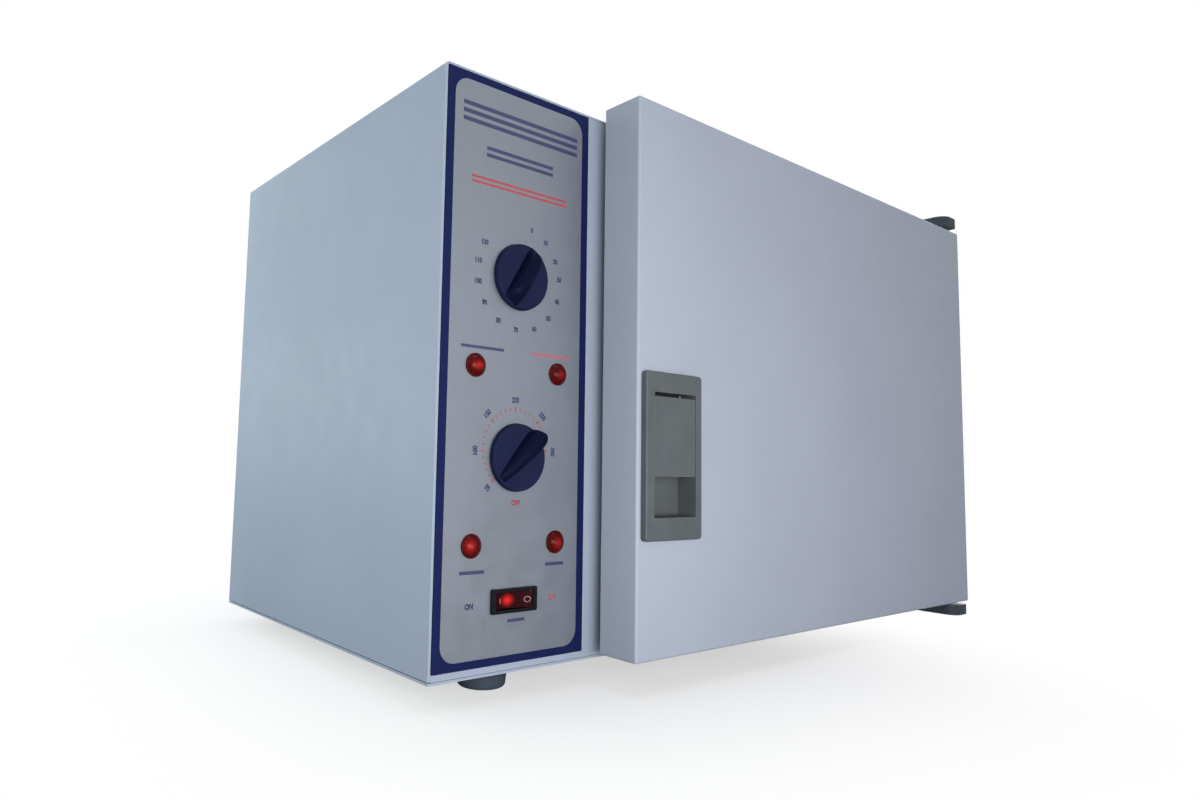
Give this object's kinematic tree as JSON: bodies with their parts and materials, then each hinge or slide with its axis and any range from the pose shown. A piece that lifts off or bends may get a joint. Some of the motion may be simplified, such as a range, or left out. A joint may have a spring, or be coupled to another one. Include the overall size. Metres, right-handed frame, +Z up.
{
  "type": "dry heat sterilizer",
  "caption": "Bench-top hot-air sterilizer: a sheet-metal case with a heated chamber behind a side-hinged insulated door with a pull latch, and a dial and switch panel on the left.",
  "frame": {"origin": "middle of the part's bounding box at the underside of the feet", "axes": "+X to the viewer's right along the front, -Y out of the front towards the user, +Z up"},
  "size_m": [0.578, 0.3428, 0.3818],
  "materials": {
    "case_paint": "satin",
    "panel_paint": "satin",
    "door_paint": "satin",
    "bare_steel": "brushed",
    "bright_steel": "polished",
    "zinc_steel": "satin",
    "overlay_print": "satin",
    "dark_plastic": "satin",
    "black_plastic": "satin",
    "latch_plastic": "satin",
    "red_lens": "gloss",
    "red_rocker": "gloss",
    "foot_rubber": "matte",
    "seal_silicone": "matte",
    "bracket_paint": "satin",
    "mineral_wool": "matte",
    "ceramic": "matte",
    "brass": "satin",
    "copper": "satin",
    "sheath_steel": "satin"
  },
  "bodies": {
    "cabinet": {"outer_cover": "case_paint", "base_tray": "case_paint", "front_panel": "panel_paint", "rear_panel": "panel_paint", "partition": "zinc_steel", "control_overlay": "overlay_print", "rear_panel_screws": "bare_steel", "foot_screws": "bare_steel", "foot_front_left": "foot_rubber", "foot_front_right": "foot_rubber", "foot_rear_left": "foot_rubber", "foot_rear_right": "foot_rubber", "chamber_liner": "bright_steel", "chamber_insulation": "mineral_wool", "shelf_lower": "bright_steel", "shelf_upper": "bright_steel", "shelf_runners_left": "bright_steel", "shelf_runners_right": "bright_steel", "heating_element_lower": "sheath_steel", "heating_element_upper": "sheath_steel", "heater_rails": "bare_steel", "heater_insulators": "ceramic", "sensing_bulb": "copper", "bulb_clips": "bare_steel", "capillary_tube": "copper", "timer_body": "zinc_steel", "thermostat_body": "zinc_steel", "control_screws": "bare_steel", "switch_body": "black_plastic", "switch_terminals": "brass", "terminal_block": "ceramic", "power_inlet": "black_plastic", "inlet_pins": "brass", "inlet_screws": "bare_steel", "lamp_lens_upper_left": "red_lens", "lamp_lens_upper_right": "red_lens", "lamp_lens_lower_left": "red_lens", "lamp_lens_lower_right": "red_lens", "lamp_holders": "black_plastic", "hinge_bracket_lower": "bracket_paint", "hinge_bracket_upper": "bracket_paint", "hinge_pins": "bare_steel", "hinge_screws": "bare_steel", "strike_clip": "bare_steel"},
    "door": {"door_shell": "door_paint", "door_liner": "bright_steel", "door_insulation": "mineral_wool", "door_gasket": "seal_silicone", "hinge_bushes": "brass", "hinge_blocks": "zinc_steel", "latch_housing": "latch_plastic", "latch_pin": "bare_steel"},
    "latch": {"latch_paddle": "latch_plastic", "latch_hook": "bare_steel", "latch_spring": "bare_steel"},
    "timer_dial": {"timer_knob": "dark_plastic", "timer_shaft": "bare_steel"},
    "thermostat_dial": {"thermostat_knob": "dark_plastic", "thermostat_shaft": "bare_steel"},
    "rocker": {"switch_rocker": "red_rocker"}
  },
  "joints": [
    {"name": "door_hinge", "type": "hinge", "parent": "cabinet", "child": "door", "pos_m": [0.273, -0.1497, 0.1915], "axis": [0, 0, 1], "range_deg": [0, 105], "deforming": ["strike_clip"]},
    {"name": "latch_pull", "type": "hinge", "parent": "door", "child": "latch", "pos_m": [-0.1386, -0.1673, 0.1734], "axis": [-1, 0, 0], "range_deg": [0, 25], "stiffness_Nm_per_rad": 0.08, "springref_deg": -22.92, "deforming": ["latch_spring"]},
    {"name": "timer_turn", "type": "hinge", "parent": "cabinet", "child": "timer_dial", "pos_m": [-0.2312, -0.1367, 0.2469], "axis": [0, 1, 0], "range_deg": [-14.8, 271.2]},
    {"name": "thermostat_turn", "type": "hinge", "parent": "cabinet", "child": "thermostat_dial", "pos_m": [-0.2312, -0.1367, 0.1387], "axis": [0, 1, 0], "range_deg": [-226, 44]},
    {"name": "switch_tilt", "type": "hinge", "parent": "cabinet", "child": "rocker", "pos_m": [-0.2312, -0.1247, 0.0562], "axis": [0, 0, 1], "range_deg": [0, 14]}
  ]
}
